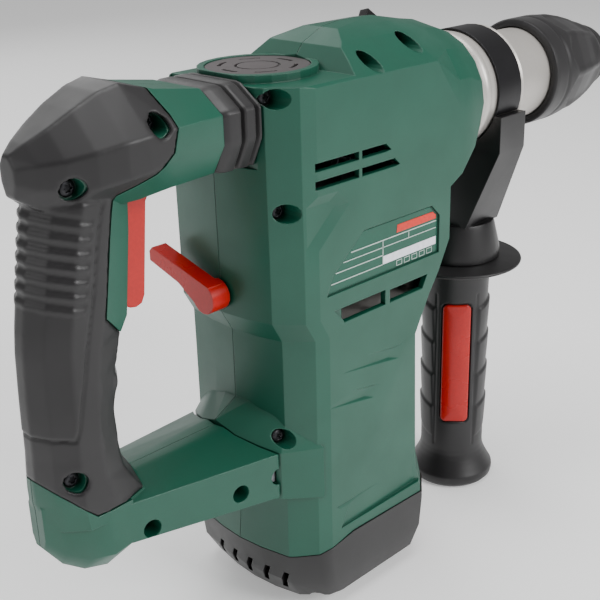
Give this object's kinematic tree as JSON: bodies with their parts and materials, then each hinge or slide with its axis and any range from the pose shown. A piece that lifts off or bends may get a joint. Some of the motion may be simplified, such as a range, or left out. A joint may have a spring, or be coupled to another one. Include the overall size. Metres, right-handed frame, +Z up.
{
  "type": "rotary hammer",
  "caption": "Mains rotary hammer with upright motor, spring-mounted D-handle, lever and knob mode controls and a swivelling side handle.",
  "frame": {"origin": "centre of the flat foot under the motor end cap, in the plane where the two housing halves meet", "axes": "+X forward along the spindle towards the chuck, +Y to the tool's left, +Z up from the foot towards the gear housing"},
  "size_m": [0.397, 0.093, 0.2785],
  "materials": {
    "green_plastic": "glass-filled nylon, fine spark-eroded texture",
    "dark_plastic": "black-brown nylon, fine texture",
    "black_rubber": "soft overmoulded elastomer, satin",
    "red_plastic": "red nylon, semi-gloss",
    "aluminium": "die cast and turned, bead-blasted satin",
    "steel": "ground and hardened steel",
    "black_steel": "black stoved band",
    "lamination": "stacked electrical steel, varnished",
    "copper": "enamelled copper winding",
    "brass": "pressed brass and commutator copper",
    "carbon": "pressed carbon"
  },
  "bodies": {
    "housing": {"housing_right": "green_plastic", "housing_left": "green_plastic", "housing_screw": "steel", "motor_end_cap": "dark_plastic", "grease_cap": "dark_plastic", "front_collar": "aluminium", "gear_case": "aluminium", "spindle_bearing": "steel", "spindle_seal": "black_rubber", "crank_bearing_lower": "steel", "crank_bearing_upper": "steel", "motor_bearing_lower": "steel", "motor_bearing_upper": "steel", "stator_core": "lamination", "field_winding_top": "copper", "field_winding_bottom": "copper", "brush_holder_right": "brass", "brush_holder_left": "brass", "carbon_brush_right": "carbon", "carbon_brush_left": "carbon", "pivot_pin": "steel", "damper_spring": "steel", "bellows": "black_rubber"},
    "rear_handle": {"handle_right": "green_plastic", "handle_left": "green_plastic", "grip_cover_right": "black_rubber", "grip_cover_left": "black_rubber", "handle_screw": "steel", "switch_body": "dark_plastic", "cord_gland": "black_rubber"},
    "trigger": {"trigger": "red_plastic"},
    "armature": {"armature_shaft": "steel", "armature_core": "lamination", "commutator": "brass", "cooling_fan": "dark_plastic"},
    "crank": {"crankshaft": "steel", "crank_gear": "steel"},
    "bevel_drive": {"bevel_shaft": "steel", "intermediate_gear": "steel"},
    "spindle": {"spindle_tube": "steel", "bevel_ring_gear": "steel", "tool_holder": "steel", "locking_ball_right": "steel", "locking_ball_left": "steel", "dust_cap": "black_rubber", "sleeve_spring": "steel"},
    "chuck": {"chuck_sleeve": "black_rubber"},
    "piston": {"piston": "aluminium", "wrist_pin": "steel"},
    "rod": {"connecting_rod": "aluminium", "crank_pin": "steel"},
    "striker": {"striker": "steel"},
    "impact_bolt": {"impact_bolt": "steel"},
    "mode_lever": {"mode_lever": "red_plastic"},
    "mode_knob": {"mode_knob": "dark_plastic"},
    "side_handle": {"side_strap": "black_steel", "clamp_yoke": "dark_plastic", "clamp_bolt": "steel"},
    "side_grip": {"side_grip": "black_rubber", "side_grip_insert": "red_plastic"}
  },
  "joints": [
    {"name": "handle_damping", "type": "hinge", "parent": "housing", "child": "rear_handle", "pos_m": [-0.0615, 0, 0.076], "axis": [0, 1, 0], "range_deg": [0, 1.8], "stiffness_Nm_per_rad": 390, "springref_deg": -0.69, "deforming": ["bellows", "damper_spring"]},
    {"name": "trigger_pull", "type": "hinge", "parent": "rear_handle", "child": "trigger", "pos_m": [-0.121, 0, 0.221], "axis": [0, 1, 0], "range_deg": [0, 6], "stiffness_Nm_per_rad": 6, "springref_deg": -1.72},
    {"name": "armature_spin", "type": "hinge", "parent": "housing", "child": "armature", "pos_m": [-0.00775, 0, 0.08], "axis": [0, 0, 1], "continuous": true},
    {"name": "crank_spin", "type": "hinge", "parent": "housing", "child": "crank", "pos_m": [-0.034, 0, 0.18], "axis": [0, 0, 1], "continuous": true},
    {"name": "bevel_spin", "type": "hinge", "parent": "housing", "child": "bevel_drive", "pos_m": [0.02075, 0, 0.18], "axis": [0, 0, 1], "continuous": true},
    {"name": "spindle_spin", "type": "hinge", "parent": "housing", "child": "spindle", "pos_m": [0, 0, 0.226], "axis": [1, 0, 0], "continuous": true},
    {"name": "chuck_release", "type": "slide", "parent": "spindle", "child": "chuck", "axis": [-1, 0, 0], "range_m": [0, 0.006], "stiffness_N_per_m": 1500, "springref_m": -0.004, "deforming": ["sleeve_spring"]},
    {"name": "piston_stroke", "type": "slide", "parent": "housing", "child": "piston", "axis": [1, 0, 0], "range_m": [0, 0.022]},
    {"name": "rod_swing", "type": "hinge", "parent": "piston", "child": "rod", "pos_m": [0.001, 0, 0.226], "axis": [0, 0, 1], "range_deg": [-13.8, 13.8]},
    {"name": "striker_travel", "type": "slide", "parent": "housing", "child": "striker", "axis": [1, 0, 0], "range_m": [-0.02, 0]},
    {"name": "impact_bolt_travel", "type": "slide", "parent": "housing", "child": "impact_bolt", "axis": [1, 0, 0], "range_m": [0, 0.004]},
    {"name": "mode_lever_turn", "type": "hinge", "parent": "housing", "child": "mode_lever", "pos_m": [-0.07, 0, 0.1605], "axis": [1, 0, 0], "range_deg": [0, 151]},
    {"name": "mode_knob_turn", "type": "hinge", "parent": "housing", "child": "mode_knob", "pos_m": [0.082, 0.043, 0.246], "axis": [0, 1, 0], "range_deg": [-70, 0]},
    {"name": "side_handle_swivel", "type": "hinge", "parent": "housing", "child": "side_handle", "pos_m": [0.1085, 0, 0.226], "axis": [1, 0, 0], "range_deg": [-120, 40]},
    {"name": "side_grip_twist", "type": "hinge", "parent": "side_handle", "child": "side_grip", "pos_m": [0.1085, 0, 0.06], "axis": [0, 0, 1], "range_deg": [-180, 180]}
  ],
  "couplings": [
    {"joint": "crank_spin", "follows": "armature_spin", "ratio": -0.2963},
    {"joint": "bevel_spin", "follows": "armature_spin", "ratio": -0.26667},
    {"joint": "spindle_spin", "follows": "armature_spin", "ratio": -0.088889}
  ]
}
